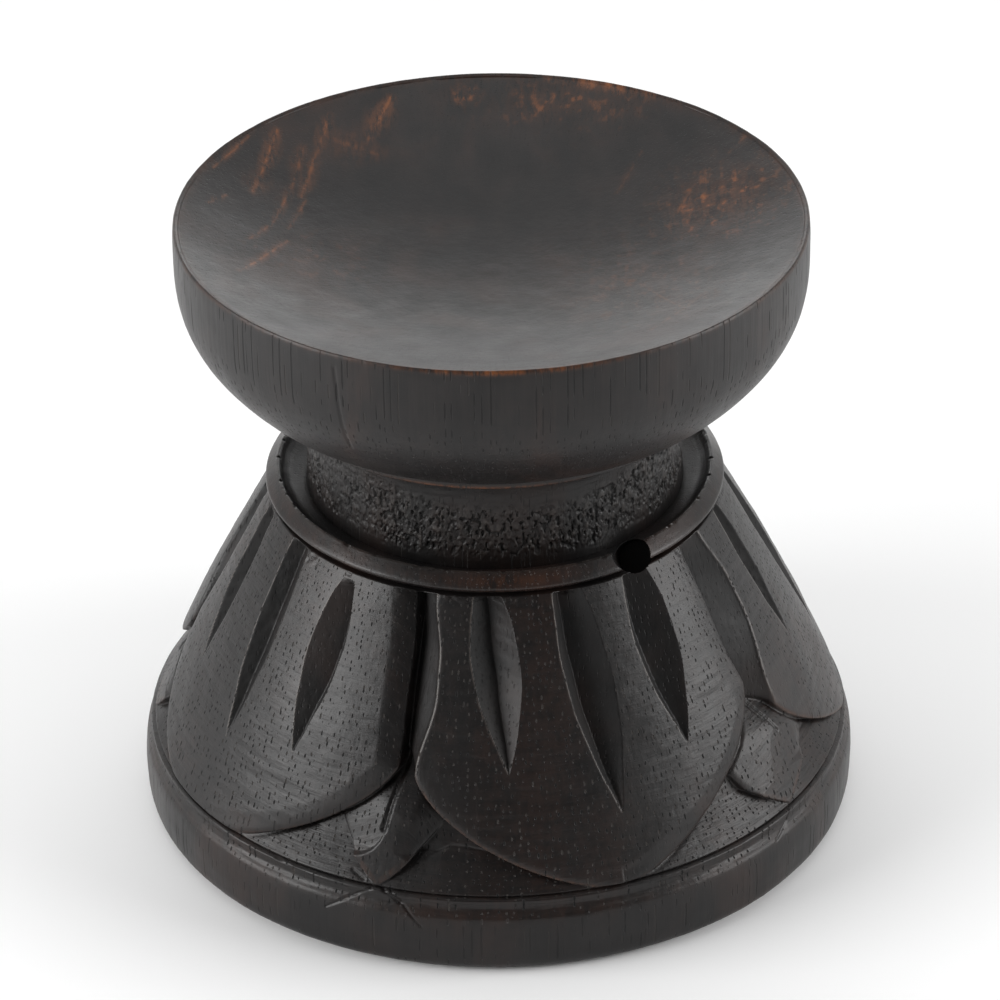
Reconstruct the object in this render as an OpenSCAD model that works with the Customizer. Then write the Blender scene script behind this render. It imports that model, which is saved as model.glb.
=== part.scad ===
// Carved wooden headrest stand: a dished round top on a short turned neck,
// a beaded collar, a bell carved with lotus petals and a round plinth.
// Millimetres, +Z up, origin on the floor at the centre of the plinth.
// The front, where the widest petal faces, is -Y. Every joint is a glued
// spigot in a socket, on the turned axis.

/* [Overall] */
// Full height from the floor to the dish rim
total_h = 108.5; // [106:0.5:114]
// Widest diameter, at the belly of the plinth
base_d = 122; // [120:1:130]
// Glue gap around every spigot, on the radius
glue_gap = 0.1; // [0.05:0.05:0.3]

/* [Dish] */
// Diameter of the dish rim
rim_d = 104; // [98:1:108]
// Depth of the hollow below the rim
dish_depth = 10.5; // [6:0.5:12]
// Height of the dish above the seam with the neck
dish_h = 27.4; // [26:0.2:29]

/* [Neck] */
// Diameter of the round flange under the dish
flange_d = 75; // [72:1:78]
// Thickness of that flange at its edge
flange_t = 2.7; // [2:0.1:4]
// Diameter of the neck at its waist
neck_d = 62.4; // [58:0.2:64]
// Diameter of the spigot that goes up into the dish
top_spigot_d = 26; // [20:1:32]
// Length of the spigot that goes up into the dish
top_spigot_l = 8; // [5:0.5:9]
// Diameter of the spigot that goes down into the bell
foot_spigot_d = 40; // [30:1:46]
// Length of the spigot that goes down into the bell
foot_spigot_l = 16; // [10:1:20]

/* [Collar] */
// Outer diameter of the collar ring
collar_d = 77; // [76:0.5:79]
// Height of the collar's bead above its seat
collar_h = 3.8; // [3:0.1:4.5]

/* [Bell] */
// Radius of the petals right under the collar
bell_top_r = 38; // [37:0.5:38.5]
// Radius of the petals at the plinth
bell_foot_r = 59.7; // [58.5:0.1:59.8]
// How far the bell's side bows out from a straight cone
bell_bow = 0.95; // [0:0.05:1.5]
// How deep the ground between the petals is cut
petal_relief = 3; // [1.5:0.1:4]
// Number of large petals
petal_count = 5; // [4:1:6]
// Azimuth of the middle of the front petal, from the front
petal_azimuth = 19; // [0:0.5:70]
// Share of its place that a large petal fills
petal_fill = 0.91; // [0.85:0.01:0.94]
// Length of the middle flute of a petal
long_flute_l = 35; // [28:1:37]
// Length of the outer flutes of a petal
short_flute_l = 27; // [20:1:30]
// Width of a flute at its middle
flute_w = 6.6; // [4:0.2:7]

/* [Hole] */
// Diameter of the drilled hole in the collar
hole_d = 5.9; // [4:0.1:6.4]
// Azimuth of the hole's mouth, from the front
hole_azimuth = 38; // [30:0.2:45]
// Azimuth that the drill came from
hole_turn = -10; // [-20:1:40]
// How steeply the drill came down, from level
hole_rise = 36; // [30:1:60]
// Depth of the hole along the drill, from its mouth
hole_l = 8; // [5:0.5:9]

/* [Plinth] */
// Height of the plinth, to the seam with the bell
plinth_h = 13.9; // [13:0.1:16]
// Height of the straight band at the plinth's edge
band_h = 11.2; // [9:0.1:12]
// Rounding of the plinth's bottom edge
edge_r = 2.4; // [1:0.1:3]
// Diameter of the bell's spigot in the plinth
plinth_spigot_d = 70; // [50:1:80]
// Length of the bell's spigot in the plinth
plinth_spigot_l = 6; // [4:0.5:8]

/* [Hidden] */
$fn = 96;

eps = 0.02;
wood = [0.16, 0.10, 0.085];
worn_wood = [0.22, 0.14, 0.11];
dark_wood = [0.12, 0.08, 0.07];

rim_r = rim_d / 2;
base_r = base_d / 2;
flange_r = flange_d / 2;
neck_r = neck_d / 2;
collar_r = collar_d / 2;

dish_z = total_h - dish_h;             // seam between dish and neck
flange_z = dish_z - flange_t;          // underside of the flange's edge
collar_z = 58.5;                       // flat top of the bell, seat of the collar
crest_r = collar_r - 2.1;              // highest line of the collar's bead
moat_r = neck_r + 0.9;                 // inner edge of the collar's slope
moat_z = collar_z + 1.2;

bell_h = collar_z - plinth_h;
bell_steps = 8;
bell_heights = [for (i = [0:bell_steps]) plinth_h + bell_h * i / bell_steps];
pitch = 360 / petal_count;
petal_half = pitch * petal_fill / 2;   // half angle of a large petal
shoulder_z = plinth_h + 18;            // where a petal's sides turn into its tip
tip_z = plinth_h + 0.4;
tip_steps = 8;
flute_depth = 2.9;
flute_turn = 19;                       // angle between neighbouring flutes
hole_mouth_r = collar_r - 2.3;
hole_mouth_z = collar_z + 1.8;

leaf_half_w = 9.5;                     // small petals: half width at the shoulder
leaf_waist_w = 5.2;                    // and near the tip
leaf_waist_z = tip_z + 4;
leaf_side_z = tip_z + 9;
leaf_top_z = shoulder_z + 1;
keel_h = 2.6;                          // how far the keel stands out
wedge_w = 14;                          // half width of the wedge that the keel is cut from
wedge_l = 30;

dish_sphere_r = (pow(rim_r, 2) + pow(dish_depth, 2)) / (2 * dish_depth);

// Radius of the petals' outer surface at height z.
function bell_t(z) = (collar_z - z) / bell_h;
function bell_r(z) = bell_top_r + (bell_foot_r - bell_top_r) * bell_t(z)
                   + 4 * bell_bow * bell_t(z) * (1 - bell_t(z));

// Radius of the sunk ground between the petals at height z.
function ground_r(z) = bell_r(z)
                     - petal_relief * min(1, 0.25 + (z - plinth_h) / 8)
                       * min(1, 0.35 + (collar_z - z) / 10);

// Slope of the bell's side from upright.
bell_slope = atan2(bell_foot_r - bell_top_r, bell_h);

// Outline of one half of a large petal, seen along its middle: straight
// sides down to the shoulder, then a broad rounded tip.
function side_z(i) = collar_z - (collar_z - shoulder_z) * i / 4;
function tip_a(i) = 90 * i / tip_steps;
petal_side = [for (i = [0:4]) [bell_r(side_z(i)) * sin(petal_half), side_z(i)]];
petal_w = petal_side[4][0];
petal_tip = [for (i = [1:tip_steps])
    [petal_w * cos(tip_a(i)), shoulder_z - (shoulder_z - tip_z) * pow(sin(tip_a(i)), 0.9)]];
petal_half_outline = concat(petal_side, petal_tip);

// Sets a shape that lies in the x-z plane upright in front of the axis,
// facing out at an azimuth counted from -Y towards +X.
module at_azimuth(a) {
    rotate([0, 0, a]) children();
}

// Pushes an outline in x and z outwards from the axis as a prism.
module outward_prism(points, inner = 10, outer = 70) {
    translate([0, -inner, 0])
        rotate([90, 0, 0])
            linear_extrude(outer - inner) polygon(points);
}

// Solid of revolution inside a radius function given as a list of [r, z].
module turned(points) {
    rotate_extrude() polygon(points);
}

module seat_dish() {
    color(worn_wood)
        difference() {
            turned([
                [0, dish_z], [flange_r + 0.5, dish_z], [41.2, dish_z + 0.6],
                [44.3, dish_z + 3.2], [47.3, dish_z + 6.5], [49.5, dish_z + 9.6],
                [50.9, dish_z + 12.7], [rim_r - 0.25, dish_z + 15.9],
                [rim_r + 0.05, dish_z + 19], [rim_r, total_h - 0.6],
                [rim_r - 0.35, total_h], [0, total_h]
            ]);
            translate([0, 0, total_h - dish_depth + dish_sphere_r])
                sphere(r = dish_sphere_r, $fn = 192);
            translate([0, 0, dish_z - eps])
                cylinder(r = top_spigot_d / 2 + glue_gap, h = top_spigot_l + glue_gap + eps);
        }
}

module neck() {
    color(dark_wood)
        difference() {
            union() {
                turned([
                    [0, collar_z], [neck_r + 0.6, collar_z], [neck_r + 0.3, collar_z + 3],
                    [neck_r, collar_z + 7], [neck_r, collar_z + 12],
                    [neck_r + 0.6, collar_z + 16], [neck_r + 2.2, flange_z - 1],
                    [neck_r + 4.4, flange_z - 0.1], [flange_r - 0.4, flange_z],
                    [flange_r, flange_z + 0.5], [flange_r, dish_z - 0.3],
                    [flange_r - 0.3, dish_z], [0, dish_z]
                ]);
                translate([0, 0, dish_z - eps])
                    cylinder(r = top_spigot_d / 2, h = top_spigot_l + eps);
                translate([0, 0, collar_z - foot_spigot_l])
                    cylinder(r = foot_spigot_d / 2, h = foot_spigot_l + eps);
            }
            drilled_hole();
        }
}

// The hole was drilled after assembly, from the front and downwards, through
// the collar's bead and on into the neck's foot and the bell.
module drilled_hole() {
    at_azimuth(hole_azimuth)
        translate([0, -hole_mouth_r, hole_mouth_z])
            rotate([0, 0, hole_turn - hole_azimuth])
                rotate([90 - hole_rise, 0, 0])
                    cylinder(r = hole_d / 2, h = 2 * hole_l, center = true);
}

module collar_ring() {
    color(wood)
        difference() {
            turned([
                [neck_r + 0.7, collar_z], [collar_r - 1.7, collar_z],
                [collar_r - 0.5, collar_z + 1.1], [collar_r, collar_z + 1.6],
                [collar_r - 0.1, collar_z + 2.1], [crest_r + 0.2, collar_z + collar_h - 0.1],
                [crest_r, collar_z + collar_h],
                [crest_r - 0.5, collar_z + collar_h - 0.2],
                [crest_r - 1.1, collar_z + collar_h - 1.3],
                [crest_r - 2.3, collar_z + collar_h - 2.2], [moat_r, moat_z]
            ]);
            drilled_hole();
        }
}

// The bell as a turned solid, given its radius at each of bell_heights.
module bell_solid(radii) {
    turned(concat(
        [[0, plinth_h]],
        [for (i = [0:bell_steps]) [radii[i], bell_heights[i]]],
        [[0, collar_z]]
    ));
}

// The whole bell up to the petals' outer surface.
module bell_blank() {
    bell_solid([for (z = bell_heights) bell_r(z)]);
}

// The bell down to the sunk ground between the petals.
module ground() {
    bell_solid([for (z = bell_heights) ground_r(z)]);
}

// Outline of a large petal, from its two halves.
module large_petal_outline() {
    mirrored = [for (i = [len(petal_half_outline) - 2:-1:0])
        [-petal_half_outline[i][0], petal_half_outline[i][1]]];
    outward_prism(concat(petal_half_outline, mirrored));
}

// A small petal between two large ones: a pointed leaf with a sharp keel.
module small_petal() {
    intersection() {
        outward_prism([
            [0, tip_z], [leaf_waist_w, leaf_waist_z], [leaf_half_w, leaf_side_z],
            [leaf_half_w, leaf_top_z], [-leaf_half_w, leaf_top_z],
            [-leaf_half_w, leaf_side_z], [-leaf_waist_w, leaf_waist_z]
        ]);
        translate([0, -ground_r(plinth_h + 1) + 0.6, plinth_h + 1])
            rotate([-bell_slope, 0, 0])
                translate([0, 0, -3])
                    linear_extrude(wedge_l)
                        polygon([[-wedge_w, 3], [0, -keel_h], [wedge_w, 3]]);
    }
}

// A gouge cut with pointed ends, lying along the bell's side, with its
// upper end under the collar.
module flute_cutter(length) {
    half = flute_w / 2;
    middle_z = collar_z - 0.5 - length / 2 * cos(bell_slope);
    translate([0, -bell_r(middle_z) - half + flute_depth, middle_z])
        rotate([-bell_slope, 0, 0])
            rotate_extrude($fn = 32)
                polygon([
                    [0, -length / 2], [half * 0.62, -length * 0.32],
                    [half * 0.94, -length * 0.12], [half, length * 0.06],
                    [half * 0.86, length * 0.26], [0, length / 2]
                ]);
}

module petal_drum() {
    color(wood)
        difference() {
            union() {
                ground();
                intersection() {
                    bell_blank();
                    union() {
                        for (k = [0:petal_count - 1])
                            at_azimuth(petal_azimuth + k * pitch) large_petal_outline();
                    }
                }
                intersection() {
                    bell_blank();
                    union() {
                        for (k = [0:petal_count - 1])
                            at_azimuth(petal_azimuth + (k + 0.5) * pitch) small_petal();
                    }
                }
                translate([0, 0, plinth_h - plinth_spigot_l])
                    cylinder(r = plinth_spigot_d / 2, h = plinth_spigot_l + eps);
            }
            for (k = [0:petal_count - 1])
                for (side = [-1:1])
                    at_azimuth(petal_azimuth + k * pitch + side * flute_turn)
                        flute_cutter(side == 0 ? long_flute_l : short_flute_l);
            translate([0, 0, collar_z - foot_spigot_l - glue_gap])
                cylinder(r = foot_spigot_d / 2 + glue_gap, h = foot_spigot_l + 1);
            drilled_hole();
        }
}

module plinth() {
    belly_z = band_h * 0.5;
    color(wood)
        difference() {
            turned(concat(
                [[0, 0]],
                [for (a = [0:15:75])
                    [base_r - 0.15 - edge_r * (1 - sin(a)), edge_r * (1 - cos(a))]],
                [
                    [base_r, belly_z], [base_r - 0.25, band_h - 1.4],
                    [base_r - 0.9, band_h - 0.2], [base_r - 1.3, band_h + 0.9],
                    [bell_foot_r + 0.1, plinth_h - 0.35], [bell_foot_r - 0.25, plinth_h],
                    [0, plinth_h]
                ]
            ));
            translate([0, 0, plinth_h - plinth_spigot_l - glue_gap])
                cylinder(r = plinth_spigot_d / 2 + glue_gap, h = plinth_spigot_l + 1);
        }
}

seat_dish();
neck();
collar_ring();
petal_drum();
plinth();
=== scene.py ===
"""A carved, dark-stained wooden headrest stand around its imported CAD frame.

Every visible piece of wood is turned here as a fine grid, around the axis and
along its outline, and carved by moving the grid's points in or out. Lengths
inside the carving functions are in millimetres, angles in degrees, counted
from the front (-Y) towards +X.
"""

import math
from collections import namedtuple

import bpy
import numpy as np
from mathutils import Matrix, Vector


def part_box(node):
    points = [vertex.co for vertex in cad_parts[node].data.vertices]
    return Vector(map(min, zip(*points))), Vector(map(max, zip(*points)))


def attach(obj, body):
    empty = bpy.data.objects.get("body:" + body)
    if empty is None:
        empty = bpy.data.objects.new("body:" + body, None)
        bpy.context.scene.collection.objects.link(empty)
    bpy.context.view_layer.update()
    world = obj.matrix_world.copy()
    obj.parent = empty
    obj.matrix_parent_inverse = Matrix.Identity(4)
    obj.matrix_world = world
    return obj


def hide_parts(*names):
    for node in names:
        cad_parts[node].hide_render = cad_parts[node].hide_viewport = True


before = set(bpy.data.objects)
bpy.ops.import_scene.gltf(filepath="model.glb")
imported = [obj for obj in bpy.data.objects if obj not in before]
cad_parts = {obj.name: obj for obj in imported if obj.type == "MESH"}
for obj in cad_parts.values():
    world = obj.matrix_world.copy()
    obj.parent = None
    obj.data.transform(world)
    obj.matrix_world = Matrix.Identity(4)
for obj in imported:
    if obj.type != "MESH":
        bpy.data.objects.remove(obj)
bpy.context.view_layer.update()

MM = 0.001
AROUND = 1800          # grid points around the axis
AXIS_R = 0.5           # where flat turned faces stop short of the axis


# ---------------------------------------------------------------- frame sizes

def box_mm(node):
    """Lowest and highest corner of a CAD node, in millimetres."""
    low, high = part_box(node)
    return np.array(low) / MM, np.array(high) / MM


TOTAL_H = box_mm("seat_dish")[1][2]
DISH_Z = box_mm("seat_dish")[0][2]
RIM_R = box_mm("seat_dish")[1][0]
FLANGE_R = box_mm("neck")[1][0]
COLLAR_Z = box_mm("collar_ring")[0][2]
COLLAR_TOP = box_mm("collar_ring")[1][2]
COLLAR_R = box_mm("collar_ring")[1][0]
PLINTH_H = box_mm("plinth")[1][2]
BASE_R = box_mm("plinth")[1][0]
BELL_TOP_R = 38.0
BELL_FOOT_R = BASE_R - 1.3
BELL_BOW = 0.95        # how far the bell's side swells beyond a straight cone
NECK_R = 31.2
DISH_DEPTH = 10.4
FLANGE_H = 2.7         # height of the neck's flange under the dish
BORE_R = NECK_R + 0.3  # of the collar's bore, which closes on the neck's flared foot


# ------------------------------------------------------------- seeded noise

# Large odd numbers that give neighbouring cells unlike values.
HASH_CELL = (73856093, 19349663, 83492791)
HASH_SEED = 2654435761
HASH_MIX = 1274126177


def lattice_noise(points, cell, seed):
    """Smooth value noise, -1 to 1, for an (n, 3) array of points."""
    scaled = points / np.asarray(cell, float)
    base = np.floor(scaled).astype(np.int64)
    part = scaled - base
    part = part * part * (3 - 2 * part)
    total = np.zeros(len(points))
    for corner in range(8):
        step = np.array([corner & 1, corner >> 1 & 1, corner >> 2 & 1])
        cell_at = base + step
        x, y, z = (cell_at * HASH_CELL).T
        mixed = x ^ y ^ z ^ seed * HASH_SEED
        mixed = (mixed ^ mixed >> 13) * HASH_MIX
        mixed = (mixed ^ mixed >> 16) & 0xFFFFFF
        weight = np.where(step, part, 1 - part).prod(axis=1)
        total += weight * (mixed / 0x7FFFFF - 1)
    return total


def layered_noise(points, cell, seed, layers=3):
    """Several octaves of lattice_noise, each half the size of the last."""
    total = np.zeros(len(points))
    for layer in range(layers):
        finer = 2 ** layer
        total += lattice_noise(points, np.asarray(cell, float) / finer, seed + layer) / finer
    return total


def smooth_step(low, high, value):
    """Rises smoothly from 0 at low to 1 at high; low may be the greater."""
    part = np.clip((value - low) / (high - low), 0, 1)
    return part * part * (3 - 2 * part)


def ridge(value, middle, width):
    """A smooth ridge: 1 at the middle value, almost 0 two widths from it."""
    return np.exp(-((value - middle) / width) ** 2)


def wrap(angle):
    """Angle difference brought into -180 to 180 degrees."""
    return (angle + 180) % 360 - 180


def facing(azimuth, middle, reach):
    """1 at the middle azimuth, falling straight to 0 at reach degrees from it."""
    return np.clip(1 - np.abs(wrap(azimuth - middle)) / reach, 0, 1)


# ------------------------------------------------------------ turned outlines

CURVE_PARTS = 24       # samples of a curve between two of its points


def smooth_curve(points, step):
    """A Catmull-Rom curve through points, sampled about every step."""
    pts = np.array(points, float)
    ext = np.vstack([2 * pts[0] - pts[1], pts, 2 * pts[-1] - pts[-2]])
    fine = []
    for a, b, c, d in zip(ext, ext[1:], ext[2:], ext[3:]):
        for t in np.linspace(0, 1, CURVE_PARTS, endpoint=False):
            fine.append(0.5 * (2 * b + (c - a) * t + (2 * a - 5 * b + 4 * c - d) * t ** 2
                               + (3 * b - a - 3 * c + d) * t ** 3))
    fine.append(pts[-1])
    fine = np.array(fine)
    run = np.r_[0, np.cumsum(np.hypot(*np.diff(fine, axis=0).T))]
    count = max(2, round(run[-1] / step) + 1)
    at = np.linspace(0, run[-1], count)
    return np.c_[np.interp(at, run, fine[:, 0]), np.interp(at, run, fine[:, 1])]


def join_outline(*stretches):
    """Joins stretches end to end, dropping repeated points."""
    rows = [stretches[0]]
    for stretch in stretches[1:]:
        same = np.hypot(*(np.array(stretch[0]) - np.array(rows[-1][-1]))) < 1e-6
        rows.append(stretch[1:] if same else stretch)
    return np.vstack(rows)


def turned_grid(outline):
    """Azimuth, r, z and row of each point of an outline (r, z) turned about the axis."""
    azimuth = np.arange(AROUND) * 360 / AROUND
    a, r = np.meshgrid(azimuth, outline[:, 0])
    z = np.repeat(outline[:, 1], AROUND)
    row = np.repeat(np.arange(len(outline)), AROUND)
    return a.ravel(), r.ravel(), z, row


def to_xyz(azimuth, r, z):
    """Azimuth from -Y towards +X, radius and height to x, y, z."""
    turn = np.radians(azimuth)
    return np.c_[r * np.sin(turn), -r * np.cos(turn), z]


def grid_normals(outline):
    """Unit normals (dr, dz) of a turned grid whose outline runs upwards on its outside."""
    along = np.gradient(outline, axis=0)
    along /= np.maximum(np.hypot(*along.T), 1e-9)[:, None]
    return np.repeat(np.c_[along[:, 1], -along[:, 0]], AROUND, axis=0)


def make_mesh(name, points_mm, faces, masks):
    """A smooth mesh from points and a list of face arrays (corners, rows, columns)."""
    mesh = bpy.data.meshes.new(name)
    mesh.vertices.add(len(points_mm))
    mesh.vertices.foreach_set("co", (points_mm * MM).astype(np.float32).ravel())
    corners = np.concatenate([part[0].ravel() for part in faces])
    sizes = np.concatenate([np.full(len(part[0]), part[0].shape[1]) for part in faces])
    mesh.loops.add(len(corners))
    mesh.loops.foreach_set("vertex_index", corners.astype(np.int32))
    mesh.polygons.add(len(sizes))
    mesh.polygons.foreach_set("loop_start", np.r_[0, np.cumsum(sizes)[:-1]].astype(np.int32))
    mesh.polygons.foreach_set("use_smooth", np.ones(len(sizes), bool))
    mesh.update(calc_edges=True)
    for mask_name, values in masks.items():
        layer = mesh.attributes.new(mask_name, "FLOAT", "POINT")
        layer.data.foreach_set("value", values.astype(np.float32))
    rows = np.concatenate([part[1].ravel() for part in faces])
    columns = np.concatenate([part[2].ravel() for part in faces])
    # a plain unwrapping for the bake: around the axis across, along the outline up
    unwrapped = np.c_[columns / AROUND, rows / rows.max()]
    layer = mesh.uv_layers.new(name="OFBake")
    layer.data.foreach_set("uv", unwrapped.astype(np.float32).ravel())
    mesh.validate()
    return mesh


def grid_faces(rows, closed):
    """Quads of a turned grid; closed joins its last row to its first."""
    row, column = np.mgrid[0:rows if closed else rows - 1, 0:AROUND]
    row, column = row.ravel(), column.ravel()
    next_row = (row + 1) % rows
    next_column = (column + 1) % AROUND
    corners = np.c_[row * AROUND + column, row * AROUND + next_column,
                    next_row * AROUND + next_column, next_row * AROUND + column]
    corner_rows = np.c_[row, row, row + 1, row + 1]
    corner_columns = np.c_[column, column + 1, column + 1, column]
    return corners, corner_rows, corner_columns


def make_piece(name, points_mm, rows, masks):
    """A closed mesh from a turned grid whose first and last rows meet the axis."""
    column = np.arange(AROUND)
    right = (column + 1) % AROUND
    last = (rows - 1) * AROUND
    middles = np.array([points_mm[:AROUND].mean(0), points_mm[last:].mean(0)])
    around = np.c_[column + 1, column, column + 0.5]
    low = (np.c_[right, column, np.full(AROUND, rows * AROUND)],
           np.tile([0, 0, 0], (AROUND, 1)), around)
    high = (np.c_[last + column, last + right, np.full(AROUND, rows * AROUND + 1)],
            np.tile([rows - 1, rows - 1, rows], (AROUND, 1)), around[:, [1, 0, 2]])
    ended = {key: np.r_[v, v[:AROUND].mean(), v[last:].mean()] for key, v in masks.items()}
    faces = [grid_faces(rows, False), low, high]
    mesh = make_mesh(name, np.vstack([points_mm, middles]), faces, ended)
    return bpy.data.objects.new(name, mesh)


def make_ring(name, points_mm, rows, masks):
    """A closed ring from a turned grid whose outline closes on itself."""
    mesh = make_mesh(name, points_mm, [grid_faces(rows, True)], masks)
    return bpy.data.objects.new(name, mesh)


# ------------------------------------------------------------- the drilled hole

HOLE_R = 2.95
HOLE_AZIMUTH = 38.0
HOLE_TURN = -10.0      # azimuth that the drill came from
HOLE_RISE = 36.0       # how steeply the drill came down, from level
HOLE_DEPTH = 8.0
HOLE_SIDES = 72
MOUTH_INSET = 2.3      # of the hole's mouth, from the collar's outside
MOUTH_DROP = 2.0       # of the hole's mouth, from the collar's top


def drill_bit():
    """A closed cylinder, in metres, that cuts the hole through ring, neck foot and bell."""
    mouth = to_xyz(HOLE_AZIMUTH, COLLAR_R - MOUTH_INSET, COLLAR_TOP - MOUTH_DROP)[0]
    rise = math.radians(HOLE_RISE)
    out = to_xyz(HOLE_TURN, math.cos(rise), math.sin(rise))[0]
    side = np.cross(out, [0, 0, 1])
    side /= np.linalg.norm(side)
    up = np.cross(side, out)
    angle = np.arange(HOLE_SIDES) * math.tau / HOLE_SIDES
    circle = HOLE_R * (np.outer(np.cos(angle), side) + np.outer(np.sin(angle), up))
    points = np.vstack([mouth - HOLE_DEPTH * out + circle, mouth + HOLE_DEPTH * out + circle]) * MM
    ring = list(range(HOLE_SIDES))
    walls = []
    for here in ring:
        beside = (here + 1) % HOLE_SIDES
        walls.append((here, here + HOLE_SIDES, beside + HOLE_SIDES, beside))
    far_end = [HOLE_SIDES + here for here in reversed(ring)]
    mesh = bpy.data.meshes.new("drill_bit")
    mesh.from_pydata(points.tolist(), [], walls + [ring, far_end])
    bit = bpy.data.objects.new("drill_bit", mesh)
    bpy.context.scene.collection.objects.link(bit)
    return bit


def drill(piece, bit):
    """Cuts the bit's shape out of a piece, with crisp edges."""
    cut = piece.modifiers.new("drill", "BOOLEAN")
    cut.operation = "DIFFERENCE"
    cut.solver = "MANIFOLD"
    cut.object = bit
    seen = piece.evaluated_get(bpy.context.evaluated_depsgraph_get())
    mesh = bpy.data.meshes.new_from_object(seen)
    old = piece.data
    piece.modifiers.clear()
    piece.data = mesh
    mesh.name = piece.name
    bpy.data.meshes.remove(old)


# ------------------------------------------------------------------- the bell

FIELD_Z = 32.8         # the open field between the petals' tips starts below this
RELIEF = 3.0           # how far the large petals stand above the ground between them
VALLEY_DEPTH = 4.1     # depth of the V cut between two petals
ROLL_W = 4.2           # width of the rounding along a petal's right edge
BELL_SLANT = 1.11      # length of the bell's side for each millimetre of height

# One side of a large petal: angle from its middle to its edge at the waist and at
# the shoulder, how much the edge flares out under the collar, how full the tip is on
# this side, the height the tip would end at, the height of the shoulder, and how far
# the edge is rounded over above the shoulder and along the tip.
Side = namedtuple("Side", "waist shoulder flare fullness tip_z shoulder_z roll tip_roll")
PETALS = [
    {"middle": 20.0, "left": Side(32.5, 35.4, 2.2, 1.35, 13.4, 31.6, 0.0, 0.0),
     "right": Side(33.2, 35.0, -0.6, 1.30, 13.6, 33.0, 0.2, 1.1)},
    {"middle": 93.8, "left": Side(29.8, 32.9, 2.8, 1.30, 12.0, 28.9, 0.0, 0.0),
     "right": Side(30.8, 33.4, 1.0, 1.40, 13.4, 31.5, 1.0, 0.8)},
    {"middle": 164.5, "left": Side(31.0, 34.0, 1.4, 1.40, 13.6, 32.0, 0.0, 0.0),
     "right": Side(31.6, 34.0, 1.0, 1.35, 13.4, 32.6, 1.2, 0.9)},
    {"middle": 235.4, "left": Side(31.0, 34.2, 1.8, 1.35, 13.4, 31.4, 0.0, 0.0),
     "right": Side(31.4, 34.2, 0.8, 1.40, 13.6, 31.4, 0.2, 0.2)},
    {"middle": 306.1, "left": Side(31.5, 33.6, 0.8, 2.10, 12.3, 32.6, 0.0, 0.0),
     "right": Side(35.0, 35.2, -1.2, 1.30, 12.5, 32.4, 1.4, 0.55)},
]
# Azimuth of the bottom of the V cut to the right of each large petal.
VALLEYS = [54.9, 128.6, 199.8, 270.6, 341.9]
# Flutes: azimuth under the collar and at the tip, height of the upper end and of the
# tip, half width, width at the upper end and place of the bottom as shares of it.
FLUTES = [
    (-2.4, 1.9, 59.3, 32.8, 3.9, 0.46, -0.10),
    (17.3, 21.4, 59.3, 25.0, 3.9, 0.55, -0.50),
    (36.3, 36.8, 59.3, 32.0, 3.9, 0.50, -0.48),
    (73.5, 76.0, 59.3, 34.0, 1.9, 0.45, 0.30),
    (93.0, 94.5, 58.0, 26.0, 3.0, 0.30, 0.10),
    (111.5, 112.0, 59.3, 33.4, 3.5, 0.45, 0.20),
    (146.0, 144.5, 59.3, 32.6, 3.6, 0.50, -0.25),
    (164.8, 165.6, 58.2, 25.4, 3.2, 0.30, 0.15),
    (183.6, 184.8, 59.3, 32.2, 3.8, 0.45, 0.30),
    (216.8, 216.0, 59.3, 33.6, 3.5, 0.48, -0.20),
    (235.0, 234.2, 58.0, 26.2, 3.0, 0.30, 0.10),
    (254.0, 255.5, 59.3, 31.8, 3.5, 0.45, 0.25),
    (283.4, 285.8, 58.4, 32.3, 2.4, 0.60, -0.45),
    (302.6, 303.4, 58.9, 26.6, 2.9, 0.80, -0.30),
    (321.6, 319.8, 57.4, 30.4, 3.3, 0.30, 0.50),
]
FLUTE_PEAK = 0.40      # where along its length a flute is widest
FLUTE_DEPTH = 0.86     # as a share of its half width
# Small petals between the large ones: azimuth of the keel at four heights from the
# tip upwards, half width on its left and right, how round the sides of its tip are
# (1 is straight), and how deep its left facet is scooped.
KEEL_HEIGHTS = [14.6, 19.8, 25.5, 33.0]
SMALL_PETALS = [
    ((55.2, 54.4, 58.0, 55.6), 14.0, 20.0, 0.90, 0.0),
    ((129.0, 128.8, 128.6, 128.4), 10.0, 11.0, 0.74, 0.7),
    ((199.2, 199.5, 200.0, 200.2), 10.4, 10.0, 0.74, 0.4),
    ((271.0, 270.8, 270.6, 270.4), 9.8, 10.6, 0.74, 0.8),
    ((340.0, 340.2, 340.8, 342.2), 11.0, 10.0, 0.74, 1.0),
]
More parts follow.
